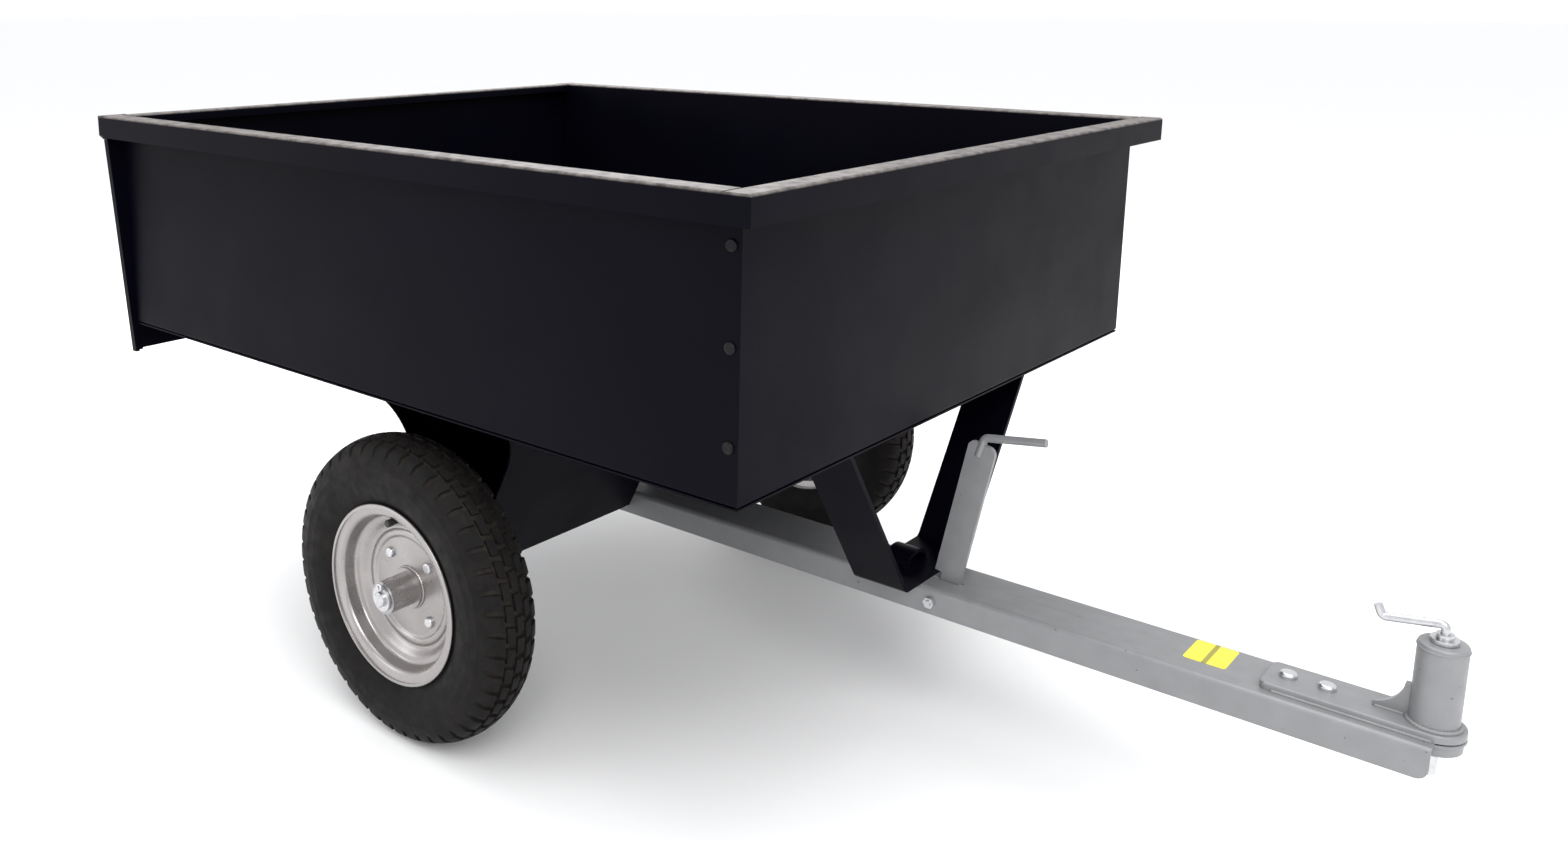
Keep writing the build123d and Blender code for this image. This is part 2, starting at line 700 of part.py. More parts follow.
def half_rim(side, outward):
    """One pressed half of the rim: edge, bead seat, well and flat disc with a hub hole."""
    middle = rim_sheet / 2
    outline = [
        (rim_edge_radius, outward * 36.5),
        (rim_edge_radius - 4, outward * 34),
        (bead_radius - middle - 0.5, outward * 30),
        (bead_radius - middle - 3, outward * 14),
        (90, outward * 10),
        (80, outward * middle),
        (hub_radius, outward * middle),
    ]
    with BuildPart() as one:
        with BuildSketch(wheel_section(side)):
            with BuildLine():
                FilletPolyline(*outline, radius=1.6)
            trace(line_width=rim_sheet)
        revolve(axis=axle_line)
        holes(rim_seats(side), rim_screw[0])
        if outward > 0:
            with Locations(Plane((axle_x, side * (wheel_y + 12), axle_z + valve_radius), z_dir=(0, 1, 0))):
                Cylinder(4.4, 24, mode=Mode.SUBTRACT)
    return one.part


def rim_seats(side):
    """Planes on the outer disc face for the rim bolts."""
    turn = 360 / rim_bolt_count
    seats = []
    for step in range(rim_bolt_count):
        angle = radians(turn * (step + 0.5))
        x = axle_x + rim_bolt_radius * cos(angle)
        z = axle_z + rim_bolt_radius * sin(angle)
        seat_y = side * (wheel_y + rim_sheet)
        seats.append(Plane((x, seat_y, z), x_dir=(1, 0, 0), z_dir=(0, side, 0)))
    return seats


def hub(side):
    """Hub tube welded through the two rim discs, with a collar on each face."""
    with BuildPart() as one:
        ring(side * wheel_y - hub_half, hub_radius, hub_bore, 2 * hub_half)
        for low in (-rim_sheet - 5, rim_sheet):
            ring(side * wheel_y + low, hub_radius + 5, hub_bore, 5)
    return one.part


def bearings(side):
    """Two flanged ball bearings: outer race with flange, shield and inner race."""
    bore = axle_radius + running_gap
    with BuildPart() as pair:
        for end in (1, -1):
            inside = side * wheel_y + end * hub_half - (bearing_width if end > 0 else 0)
            collar = side * wheel_y + end * hub_half - (0 if end > 0 else bearing_flange)
            ring(inside, hub_bore, 14.5, bearing_width)
            ring(collar, hub_radius, 14.5, bearing_flange)
            ring(inside, 12.0, bore, bearing_width)
            ring(inside + 2, 14.4, 12.1, bearing_width - 4)
    return pair.part


def valve(side):
    """Tyre valve: a stem through the rim well with its foot on the inner tube and a cap."""
    with BuildPart() as one:
        with Locations((axle_x, side * (wheel_y + 5), axle_z + valve_radius - 4)):
            Cylinder(4, 23, align=(Align.CENTER, Align.CENTER, Align.MIN))
        seat = Plane((axle_x, side * (wheel_y + 5), axle_z + valve_radius), z_dir=(0, side, 0))
        with Locations(seat):
            Cylinder(4, 24, align=(Align.CENTER, Align.CENTER, Align.MIN))
        with Locations(seat.offset(23)):
            Cylinder(4.8, 9, align=(Align.CENTER, Align.CENTER, Align.MIN))
        tips = one.edges().filter_by(GeomType.CIRCLE).sort_by(Axis.Y)
        chamfer(tips[-1] if side > 0 else tips[0], 1)
    return one.part


for name, side in sides.items():
    save(tyre(side), f"tyre_{name}")
    save(inner_tube(side), f"inner_tube_{name}")
    save(half_rim(side, 1), f"outer_rim_{name}")
    save(half_rim(side, -1), f"inner_rim_{name}")
    save(hub(side), f"hub_{name}")
    save(bearings(side), f"wheel_bearings_{name}")
    save(valve(side), f"valve_{name}")
    screws(f"rim_screws_{name}", rim_seats(side), rim_screw, 2 * rim_sheet)
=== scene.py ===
import json
import math

import bpy
import numpy as np
from bpy.props import FloatProperty, FloatVectorProperty, IntProperty, PointerProperty
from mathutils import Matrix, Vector


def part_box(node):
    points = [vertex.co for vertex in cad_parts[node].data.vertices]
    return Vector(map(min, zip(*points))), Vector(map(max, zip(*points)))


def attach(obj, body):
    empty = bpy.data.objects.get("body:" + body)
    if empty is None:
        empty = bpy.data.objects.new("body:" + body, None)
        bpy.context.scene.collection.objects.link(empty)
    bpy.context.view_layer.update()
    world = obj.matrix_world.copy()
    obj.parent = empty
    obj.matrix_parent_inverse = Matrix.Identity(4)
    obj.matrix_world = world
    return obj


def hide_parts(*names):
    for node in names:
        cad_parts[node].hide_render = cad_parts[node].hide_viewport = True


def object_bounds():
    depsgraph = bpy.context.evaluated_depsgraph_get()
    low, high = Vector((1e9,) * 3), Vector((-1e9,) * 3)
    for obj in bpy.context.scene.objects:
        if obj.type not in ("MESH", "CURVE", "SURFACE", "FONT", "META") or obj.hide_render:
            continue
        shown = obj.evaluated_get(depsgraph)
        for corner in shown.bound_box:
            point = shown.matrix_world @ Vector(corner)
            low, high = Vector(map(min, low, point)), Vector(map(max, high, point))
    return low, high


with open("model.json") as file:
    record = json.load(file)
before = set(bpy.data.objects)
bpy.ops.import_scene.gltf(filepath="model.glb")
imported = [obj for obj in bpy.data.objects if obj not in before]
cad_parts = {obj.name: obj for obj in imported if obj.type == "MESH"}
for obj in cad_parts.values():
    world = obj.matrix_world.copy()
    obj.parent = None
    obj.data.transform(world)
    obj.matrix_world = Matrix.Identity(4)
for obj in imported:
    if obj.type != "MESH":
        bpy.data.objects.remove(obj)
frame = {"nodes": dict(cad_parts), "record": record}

bl_info = {
    "name": "Tow behind cart",
    "version": (1, 0, 0),
    "blender": (4, 5, 0),
    "location": "View3D > Sidebar > Cart",
    "description": "Builds the finished surfaces of a tipping garden cart round its CAD frame",
    "category": "Object",
}

CAD_LOW, CAD_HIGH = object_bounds()
SIDES = {"left": 1, "right": -1}
TAU = 2 * math.pi


def box_middle(node):
    """Middle of a CAD node's box, as an array."""
    low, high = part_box(node)
    return (np.array(low) + np.array(high)) / 2


AXLE = box_middle("axle")
TYRE_RADIUS = (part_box("tyre_left")[1].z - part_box("tyre_left")[0].z) / 2
TYRE_HALF = (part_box("tyre_left")[1].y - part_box("tyre_left")[0].y) / 2
WHEEL_Y = float(box_middle("tyre_left")[1])
SLEEVE_LOW, SLEEVE_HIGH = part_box("hitch_sleeve")
SLEEVE_MIDDLE = box_middle("hitch_sleeve")
RING_RADIUS = (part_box("hitch_ring")[1].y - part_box("hitch_ring")[0].y) / 2


# ---- settings a user would change ----
class WheelSettings(bpy.types.PropertyGroup):
    """Sizes of the tyre's tread."""

    pitches: IntProperty(
        name="Tread pitches", description="Tread blocks round the tyre", default=46, min=8
    )
    tread_depth: FloatProperty(
        name="Tread depth", description="Depth of the grooves between the blocks",
        default=0.0045, subtype="DISTANCE", unit="LENGTH",
    )
    groove_share: FloatProperty(
        name="Groove share", description="Part of each pitch that is groove",
        default=0.26, min=0.05, max=0.6, subtype="FACTOR",
    )


class FinishSettings(bpy.types.PropertyGroup):
    """Colours of the paints, the steel and the rubber."""

    bed_paint: FloatVectorProperty(
        name="Bed paint", description="Powder coat on the bed and its supports",
        default=(0.0012, 0.0011, 0.0036), size=3, min=0, max=1, subtype="COLOR",
    )
    bar_paint: FloatVectorProperty(
        name="Drawbar paint", description="Silver-grey paint on the drawbar, hitch and lever",
        default=(0.245, 0.248, 0.255), size=3, min=0, max=1, subtype="COLOR",
    )
    rim_metal: FloatVectorProperty(
        name="Rim finish", description="Bright finish on the wheel rims",
        default=(0.37, 0.355, 0.35), size=3, min=0, max=1, subtype="COLOR",
    )
    tyre_rubber: FloatVectorProperty(
        name="Tyre rubber", description="Rubber of the tyres",
        default=(0.0055, 0.0048, 0.0048), size=3, min=0, max=1, subtype="COLOR",
    )
    patch: FloatVectorProperty(
        name="Drawbar patch", description="Plain film patch on the drawbar",
        default=(0.86, 0.80, 0.03), size=3, min=0, max=1, subtype="COLOR",
    )


class StageSettings(bpy.types.PropertyGroup):
    """Where the camera stands and how strong the studio light is."""

    eye: FloatVectorProperty(
        name="Camera place", description="Place of the camera in the cart's frame",
        default=(1.0155, -1.461, 0.940), size=3, subtype="TRANSLATION", unit="LENGTH",
    )
    aim: FloatVectorProperty(
        name="Camera aim", description="Point that the middle of the lens looks at",
        default=(0.3625, -0.730, 0.742), size=3, subtype="TRANSLATION", unit="LENGTH",
    )
    lens: FloatProperty(
        name="Focal length", description="Focal length on a 36 mm wide sensor",
        default=30.375, min=5, subtype="DISTANCE_CAMERA",
    )
    shift: FloatVectorProperty(
        name="Lens shift",
        description="Sideways and upward shift, as shares of the picture's width",
        default=(0.110, -0.108), size=2, min=-0.2, max=0.2,
    )
    floor_reach: FloatProperty(
        name="Floor reach", description="How far the pale floor runs each way from the cart",
        default=55.0, subtype="DISTANCE", unit="LENGTH",
    )
    world_light: FloatProperty(
        name="Surround light", description="Strength of the even light all round",
        default=1.1, min=0,
    )


# ---- meshes worked out from arrays ----
def grid_faces(rows, columns, close_rows=True, close_columns=True):
    """Corner numbers of the quads of a grid whose point (i, j) is number i * columns + j."""
    i = np.arange(rows if close_rows else rows - 1)
    j = np.arange(columns if close_columns else columns - 1)
    i, j = (a.ravel() for a in np.meshgrid(i, j, indexing="ij"))
    below, beside = (i + 1) % rows, (j + 1) % columns
    return np.stack(
        [i * columns + j, i * columns + beside, below * columns + beside, below * columns + j], 1
    )


def enclosed_volume(points, quads):
    """Signed volume: the sum over triangles of a . (b x c) / 6, above zero if faces look out."""
    a, b, c, d = (points[quads[:, k]] for k in range(4))
    return float(np.sum(a * np.cross(b, c)) + np.sum(a * np.cross(c, d))) / 6


def add_mesh(name, points, quads, fans=()):
    """A mesh object from points, four-cornered faces and end faces, turned to look outwards."""
    points = np.asarray(points, float).reshape(-1, 3)
    middle = points.mean(0)
    inside_out = enclosed_volume(points - middle, quads) < 0
    faces = [f[::-1] if inside_out else f for f in [*quads.tolist(), *map(list, fans)]]
    mesh = bpy.data.meshes.new(name)
    mesh.from_pydata(points.tolist(), [], faces)
    mesh.validate()
    obj = bpy.data.objects.new(name, mesh)
    bpy.context.scene.collection.objects.link(obj)
    return obj


def finish_piece(obj, body, material, nodes=(), sharp=math.radians(35)):
    """Smooth shading with crisp edges, its material, its body and the CAD nodes it stands for."""
    mesh = obj.data
    mesh.shade_smooth()
    mesh.set_sharp_from_angle(angle=sharp)
    mesh.materials.append(material)
    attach(obj, body)
    if nodes:
        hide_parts(*nodes)
    return obj


def turned(profile, angles, centre, side=1):
    """A profile turned round the axle's direction: (r, w) at angle a is at
    centre + (r cos a, side w, r sin a)."""
    r, w = np.asarray(profile, float).T
    a = np.asarray(angles, float)[:, None]
    return np.stack(
        [
            centre[0] + np.cos(a) * r,
            centre[1] + side * w + 0 * a,
            centre[2] + np.sin(a) * r,
        ],
        -1,
    )


def round_corners(corners, radius, steps=5, closed=True):
    """Corners of a flat outline replaced by arcs: each arc is a quadratic curve from a point
    radius before the corner to a point radius after it, with the corner as its pull."""
    corners = np.asarray(corners, float)
    radius = np.broadcast_to(np.asarray(radius, float), len(corners))
    out = []
    for k, corner in enumerate(corners):
        if radius[k] == 0 or (not closed and k in (0, len(corners) - 1)):
            out.append(corner[None])
            continue
        before = corners[k - 1] - corner
        after = corners[(k + 1) % len(corners)] - corner
        lengths = np.linalg.norm(before), np.linalg.norm(after)
        reach = min(radius[k], 0.48 * lengths[0], 0.48 * lengths[1])
        start = corner + before / lengths[0] * reach
        end = corner + after / lengths[1] * reach
        t = np.linspace(0, 1, steps + 1)[:, None]
        out.append((1 - t) ** 2 * start + 2 * t * (1 - t) * corner + t**2 * end)
    return np.concatenate(out)


def carried(path, section, closed=False):
    """A round section carried along a path: at each point the section's (u, v) lie along two
    directions at right angles to the path, the first as level as it can be. section holds the
    radii (u, v) for each path point and the angles round it."""
    path = np.asarray(path, float)
    if closed:
        along = np.roll(path, -1, 0) - np.roll(path, 1, 0)
    else:
        along = np.gradient(path, axis=0)
    along /= np.linalg.norm(along, axis=1)[:, None]
    up = np.where(np.abs(along[:, 2:3]) > 0.9, [[0.0, 1.0, 0.0]], [[0.0, 0.0, 1.0]])
    level = np.cross(up, along)
    level /= np.linalg.norm(level, axis=1)[:, None]
    rise = np.cross(along, level)
    radii, angles = section
    u = radii[:, 0, None] * np.cos(angles)
    v = radii[:, 1, None] * np.sin(angles)
    return path[:, None] + level[:, None] * u[..., None] + rise[:, None] * v[..., None]


def lathe_piece(name, profile, centre, side, steps):
    """A closed profile turned a whole turn into a ring-shaped solid."""
    angles = np.arange(steps) * TAU / steps
    points = turned(profile, angles, centre, side)
    return add_mesh(name, points, grid_faces(steps, len(profile)))


# ---- finishes ----
def surface(name, colour, roughness, metallic=0.0, specular=0.5):
    """A new material with its constants set on the shader's own sockets."""
    made = bpy.data.materials.new(name)
    made.use_nodes = True
    shader = made.node_tree.nodes["Principled BSDF"]
    shader.inputs["Base Color"].default_value = (*colour, 1)
    shader.inputs["Roughness"].default_value = roughness
    shader.inputs["Metallic"].default_value = metallic
    shader.inputs["Specular IOR Level"].default_value = specular
    return made, made.node_tree, shader


def cloud(tree, scale, detail=3.0, stretch=(1, 1, 1), roughness=0.55):
    """Noise read on Object coordinates, scale lumps to the metre, longer where stretch is small."""
    place = tree.nodes.new("ShaderNodeTexCoord")
    sized = tree.nodes.new("ShaderNodeMapping")
    sized.inputs["Scale"].default_value = stretch
    noise = tree.nodes.new("ShaderNodeTexNoise")
    noise.inputs["Scale"].default_value = scale
    noise.inputs["Detail"].default_value = detail
    noise.inputs["Roughness"].default_value = roughness
    tree.links.new(place.outputs["Object"], sized.inputs["Vector"])
    tree.links.new(sized.outputs["Vector"], noise.inputs["Vector"])
    return noise.outputs["Fac"]


def spread(tree, value, low, high, to_low=0.0, to_high=1.0):
    """The value's range low to high carried to to_low to to_high, and held at its ends."""
    node = tree.nodes.new("ShaderNodeMapRange")
    for socket, number in zip(node.inputs[1:5], (low, high, to_low, to_high)):
        socket.default_value = number
    tree.links.new(value, node.inputs[0])
    return node.outputs[0]


def combine(tree, operation, first, second):
    """A sum, product or other simple step of two values, either of them a plain number."""
    node = tree.nodes.new("ShaderNodeMath")
    node.operation = operation
    for socket, value in zip(node.inputs, (first, second)):
        if isinstance(value, (int, float)):
            socket.default_value = value
        else:
            tree.links.new(value, socket)
    return node.outputs[0]


def tint(tree, share, first, second):
    """A colour between two, first at share 0 and second at share 1."""
    node = tree.nodes.new("ShaderNodeMix")
    node.data_type = "RGBA"
    for socket, colour in ((node.inputs[6], first), (node.inputs[7], second)):
        if isinstance(colour, bpy.types.NodeSocket):
            tree.links.new(colour, socket)
        else:
            socket.default_value = (*colour, 1)
    tree.links.new(share, node.inputs[0])
    return node.outputs[2]


def relief(tree, shader, *heights):
    """Fine relief from pairs of height and depth in metres, the last on top."""
    below = None
    for height, depth in heights:
        bump = tree.nodes.new("ShaderNodeBump")
        bump.inputs["Strength"].default_value = 1.0
        bump.inputs["Distance"].default_value = depth
        tree.links.new(height, bump.inputs["Height"])
        if below:
            tree.links.new(below, bump.inputs["Normal"])
        below = bump.outputs["Normal"]
    tree.links.new(below, shader.inputs["Normal"])


def place_axis(tree, axis):
    """One Object coordinate, in metres."""
    place = tree.nodes.new("ShaderNodeTexCoord")
    apart = tree.nodes.new("ShaderNodeSeparateXYZ")
    tree.links.new(place.outputs["Object"], apart.inputs[0])
    return apart.outputs[axis]


def powder_coat(name, colour):
    """Satin black powder coat: fine orange peel, faint handling marks, dust, and a rim top painted
    light grey-brown, a painted highlight mixed with worn paint.
    """
    made, tree, shader = surface(name, colour, 0.4, specular=0.045)
    worn = cloud(tree, 55, 6, (1, 1, 1), 0.7)
    # Painted highlight and wear: the top few millimetres of the bed's rim are painted light
    # grey-brown nearly all along. This stands in for the bright reflection on the rim tops as well
    # as for scuffed paint, and the noise only breaks it up.
    rim = spread(tree, place_axis(tree, "Z"), CAD_HIGH.z - 0.0032, CAD_HIGH.z - 0.0012)
    rim_highlight_and_wear = combine(tree, "MULTIPLY", rim, spread(tree, worn, 0.36, 0.58, 0.35, 1.0))
    haze = spread(tree, cloud(tree, 5.5, 4), 0.42, 0.75, 0.0, 0.55)
    dusty = tint(tree, haze, colour, tuple(c * 1.5 + 0.0006 for c in colour))
    speck = spread(tree, cloud(tree, 420, 2), 0.70, 0.76, 0.0, 0.5)
    specked = tint(tree, speck, dusty, (0.008, 0.0076, 0.0075))
    # The rim top takes the painted highlight colour, light grey-brown, through the mask above; it
    # is partly painted light and partly worn paint.
    rubbed = tint(tree, rim_highlight_and_wear, specked, (0.165, 0.150, 0.142))
    tree.links.new(rubbed, shader.inputs["Base Color"])
    rough = spread(tree, cloud(tree, 9, 4), 0.3, 0.7, 0.36, 0.46)
    tree.links.new(rough, shader.inputs["Roughness"])
    relief(tree, shader, (cloud(tree, 5, 2), 0.0010), (cloud(tree, 520, 2), 0.00010))
    return made


def bar_coat(name, colour):
    """Silver-grey paint over welded steel: faint mottling, darker grime and small chips."""
    made, tree, shader = surface(name, colour, 0.4, metallic=0.25, specular=0.45)
    mottle = spread(tree, cloud(tree, 38, 5), 0.35, 0.7, 0.0, 0.6)
    mottled = tint(tree, mottle, colour, tuple(c * 0.84 for c in colour))
    chips = spread(tree, cloud(tree, 150, 3, roughness=0.6), 0.715, 0.735)
    chipped = tint(tree, chips, mottled, tuple(c * 0.42 for c in colour))
    tree.links.new(chipped, shader.inputs["Base Color"])
    rolled = cloud(tree, 60, 3, (0.12, 1, 1))
    tree.links.new(spread(tree, rolled, 0.3, 0.7, 0.34, 0.5), shader.inputs["Roughness"])
    relief(tree, shader, (rolled, 0.0002), (cloud(tree, 430, 2), 0.00008))
    return made


def pressed_rim(name, colour):
    """Bright pressed rim: patchy roughness, cloudy polish, fine relief and a little grime."""
    made, tree, shader = surface(name, colour, 0.3, metallic=0.85)
    polish = spread(tree, cloud(tree, 16, 3), 0.35, 0.7, 0.0, 0.5)
    clouded = tint(tree, polish, colour, (colour[0] * 0.78, colour[1] * 0.74, colour[2] * 0.72))
    grime = spread(tree, cloud(tree, 75, 6, roughness=0.7), 0.64, 0.80, 0.0, 0.3)
    grimed = tint(tree, grime, clouded, (0.13, 0.115, 0.1))
    tree.links.new(grimed, shader.inputs["Base Color"])
    rough = spread(tree, cloud(tree, 48, 4), 0.3, 0.75, 0.24, 0.36)
    tree.links.new(rough, shader.inputs["Roughness"])
    relief(tree, shader, (cloud(tree, 12, 2), 0.0010), (cloud(tree, 300, 3), 0.00003))
    return made


def tyre_rubber(name, colour):
    """Moulded rubber: matt, a little brown, with dry dust held in the grooves of the tread."""
    made, tree, shader = surface(name, colour, 0.6, specular=0.12)
    groove = tree.nodes.new("ShaderNodeAttribute")
    groove.attribute_name = "groove"
    scuffed = spread(tree, cloud(tree, 34, 6, roughness=0.68), 0.42, 0.72, 0.0, 0.8)
    scuff = tint(tree, scuffed, colour, (colour[0] * 2.1, colour[1] * 2.0, colour[2] * 1.8))
    dust = spread(tree, cloud(tree, 90, 4), 0.3, 0.7, 0.2, 0.8)
    held = combine(tree, "MULTIPLY", groove.outputs["Fac"], dust)
    dusty = tint(tree, held, scuff, (0.030, 0.025, 0.020))
    tree.links.new(dusty, shader.inputs["Base Color"])
    rough = spread(tree, cloud(tree, 60, 4), 0.3, 0.7, 0.5, 0.72)
    tree.links.new(rough, shader.inputs["Roughness"])
    relief(tree, shader, (cloud(tree, 110, 4), 0.00035), (cloud(tree, 900, 2), 0.0001))
    return made


def drawn_steel(name, colour, rough, grain=(1, 1, 1)):
    """Plated or drawn steel: bright, with a cloudy plate and fine marks along the grain."""
    made, tree, shader = surface(name, colour, rough, metallic=1.0)
    plate = spread(tree, cloud(tree, 130, 4), 0.35, 0.7, 0.0, 0.7)
    clouded = tint(tree, plate, colour, (colour[0] * 0.74, colour[1] * 0.75, colour[2] * 0.78))
    tree.links.new(clouded, shader.inputs["Base Color"])
    marks = cloud(tree, 500, 3, grain)
    marked = spread(tree, marks, 0.3, 0.7, rough - 0.06, rough + 0.12)
    tree.links.new(marked, shader.inputs["Roughness"])
    relief(tree, shader, (marks, 0.00004))
    return made


def black_oxide(name):
    """Blackened screws: dark, dull and a little brown where they have been handled."""
    dark, handled = (0.006, 0.006, 0.008), (0.018, 0.016, 0.015)
    made, tree, shader = surface(name, dark, 0.42, specular=0.12)
    rubbed = spread(tree, cloud(tree, 240, 3), 0.45, 0.7, 0.0, 0.5)
    tree.links.new(tint(tree, rubbed, dark, handled), shader.inputs["Base Color"])
    rough = spread(tree, cloud(tree, 300, 2), 0.3, 0.7, 0.3, 0.5)
    tree.links.new(rough, shader.inputs["Roughness"])
    relief(tree, shader, (cloud(tree, 800, 2), 0.00004))
    return made


def soft_black(name, colour, rough, lumps):
    """Plain black rubber or nylon with a fine moulded texture."""
    made, tree, shader = surface(name, colour, rough, specular=0.4)
    worn = spread(tree, cloud(tree, lumps, 4), 0.4, 0.7, 0.0, 0.6)
    faded = tint(tree, worn, colour, tuple(c * 2.2 for c in colour))
    tree.links.new(faded, shader.inputs["Base Color"])
    texture = spread(tree, cloud(tree, lumps * 2, 3), 0.3, 0.7, rough - 0.08, rough + 0.1)
    tree.links.new(texture, shader.inputs["Roughness"])
    relief(tree, shader, (cloud(tree, lumps * 8, 2), 0.00006))
    return made


def patch_film(name, colour):
    """Yellow film: two plain panels with a narrow darker band between them."""
    made, tree, shader = surface(name, colour, 0.34, specular=0.5)
    low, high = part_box("drawbar_label")
    middle = (low.x + high.x) / 2
    off = combine(tree, "ABSOLUTE", combine(tree, "SUBTRACT", place_axis(tree, "X"), middle), 0.0)
    band = spread(tree, off, 0.0022, 0.0034, 1.0, 0.0)
    faded = spread(tree, cloud(tree, 90, 4), 0.4, 0.7, 0.0, 0.6)
    yellow = tint(tree, faded, colour, (colour[0] * 0.9, colour[1] * 0.82, colour[2] + 0.04))
    banded = tint(tree, band, yellow, (0.30, 0.27, 0.03))
    tree.links.new(banded, shader.inputs["Base Color"])
    rough = spread(tree, cloud(tree, 140, 3), 0.3, 0.7, 0.26, 0.42)
    tree.links.new(rough, shader.inputs["Roughness"])
    relief(tree, shader, (cloud(tree, 60, 2), 0.0002))
    return made


def make_finishes(colours):
    """Every finish of the cart, by the record's material slot."""
    return {
        "black_paint": powder_coat("bed_powder_coat", tuple(colours.bed_paint)),
        "grey_paint": bar_coat("drawbar_paint", tuple(colours.bar_paint)),
        "silver_paint": pressed_rim("pressed_rim", tuple(colours.rim_metal)),
        "bright_steel": drawn_steel("drawn_steel", (0.60, 0.60, 0.61), 0.3, (1, 0.06, 1)),
        "bearing_steel": drawn_steel("bearing_steel", (0.42, 0.41, 0.41), 0.3),
        "plated_steel": drawn_steel("zinc_plate", (0.64, 0.64, 0.65), 0.34),
        "black_screws": black_oxide("black_oxide"),
        "tyre": tyre_rubber("tyre_rubber", tuple(colours.tyre_rubber)),
        "tube_rubber": soft_black("tube_rubber", (0.02, 0.02, 0.02), 0.5, 60),
        "valve_rubber": soft_black("valve_rubber", (0.012, 0.012, 0.012), 0.45, 200),
        "bush_plastic": soft_black("bush_nylon", (0.025, 0.025, 0.025), 0.5, 150),
        "yellow_label": patch_film("patch_film", tuple(colours.patch)),
    }


FINISHES = {}


def node_slots():
    """Each CAD node's material slot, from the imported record."""
    return {row["node"]: row["material_slot"] for row in frame["record"]["subparts"]}


def paint_nodes(*names):
    """Gives each named CAD node the finish of its slot."""
    slots = node_slots()
    for name in names:
        mesh = frame["nodes"][name].data
        mesh.materials.clear()
        mesh.materials.append(FINISHES[slots[name]])


# ---- tyres ----
def circle_arc(start, through, end, steps):
    """Points on the circle through three points: its centre c solves |p - c|^2 = r^2 for all
    three, and the angle runs evenly from start to end the way that passes the middle point."""
    a, b, c = (np.array(p, float) for p in (start, through, end))
    sides = 2 * np.array([b - a, c - a])
    centre = np.linalg.solve(sides, [b @ b - a @ a, c @ c - a @ a])
    first, middle, last = (math.atan2(*(p - centre)[::-1]) for p in (a, b, c))
    middle = first + (middle - first) % TAU
    last = first + (last - first) % TAU
    if middle > last:
        last -= TAU
    angle = np.linspace(first, last, steps)
    radius = np.linalg.norm(a - centre)
    return centre + radius * np.stack([np.cos(angle), np.sin(angle)], 1)


BEAD = (0.104, 0.027)
BEAD_TOP = (0.112, 0.028)
SHOULDER = (TYRE_RADIUS - 0.010, TYRE_HALF - 0.009)
BULGE = (0.150, TYRE_HALF - 0.0003)
CASING = 0.0075
# rows of blocks: how far across the tread each starts and ends, and its lead in pitches
BLOCK_ROWS = ((0.0, 0.0055, 0.0), (0.0085, 0.0195, 0.5), (0.0225, 0.0470, 0.0))
GROOVE_WALL = 0.0003
# how far across the tread its grooves keep their full depth, and the blocks' lead there in pitches
FULL_DEPTH_REACH = 0.036
BLOCK_SLANT = 0.32
# raised rings on the sidewall: distance from the middle of the tread, and height
RINGS = ((0.060, 0.0009), (0.074, 0.0006), (0.112, 0.0012))
RING_WIDTH = 0.0012


def tyre_contour():
    """Outside of the tyre in (radius, width) from bead to bead, with the distance along it
    measured both ways from the middle of the tread, and the outward direction at each point."""
    side = circle_arc(BEAD_TOP, BULGE, SHOULDER, 160)
    crown = circle_arc(SHOULDER, (TYRE_RADIUS, 0), (SHOULDER[0], -SHOULDER[1]), 161)
    half = np.concatenate([[BEAD], side])
    line = np.concatenate([half, crown[1:-1], half[::-1] * (1, -1)])
    step = np.linalg.norm(np.diff(line, axis=0), axis=1)
    along = np.concatenate([[0], np.cumsum(step)])
    along -= along[-1] / 2
    tangent = np.gradient(line, axis=0)
    tangent /= np.linalg.norm(tangent, axis=1)[:, None]
    outward = np.stack([-tangent[:, 1], tangent[:, 0]], 1)
    if outward[len(line) // 2, 0] < 0:
        outward = -outward
    return along, line, outward


def across_stations(reach):
    """Distances across the tyre at which the tread surface has a line of points: two at each
    wall between a block and a groove, a few on each block, and an even run down the sidewall."""
    half = [0.0]
    for start, end, _ in BLOCK_ROWS:
        if start > 0:
            half += [start - GROOVE_WALL, start + GROOVE_WALL]
        half += list(np.linspace(start, end, 5)[1:-1])
        half += [end - GROOVE_WALL, end + GROOVE_WALL]
    shoulder = BLOCK_ROWS[-1][1]
    half += list(np.linspace(shoulder + 0.003, reach, 34))
    half = np.unique(np.round(half, 5))
    return np.concatenate([-half[:0:-1], half])


def round_stations(settings):
    """Shares of one pitch at which the tread has a line of points, two at each wall."""
    g, wall = settings.groove_share / 2, 0.016
    edges = np.array([g, 0.5 - g, 0.5 + g, 1 - g])
    return np.unique(np.concatenate([[0, 0.25, 0.5, 0.75], edges - wall, edges + wall]))


def block_mask(across, share, settings):
    """1 on a block and 0 in a groove: a row's block fills its pitch apart from the groove share,
    centred half a pitch after the row's lead."""
    mask = np.zeros((len(share), len(across)))
    for start, end, lead in BLOCK_ROWS:
        inside = (np.abs(across) >= start) & (np.abs(across) <= end)
        from_groove = np.abs((share - lead + 0.5) % 1 - 0.5)
        block = from_groove >= settings.groove_share / 2
        mask[np.ix_(block, inside)] = 1
    mask[:, np.abs(across) > BLOCK_ROWS[-1][1]] = 1
    return mask


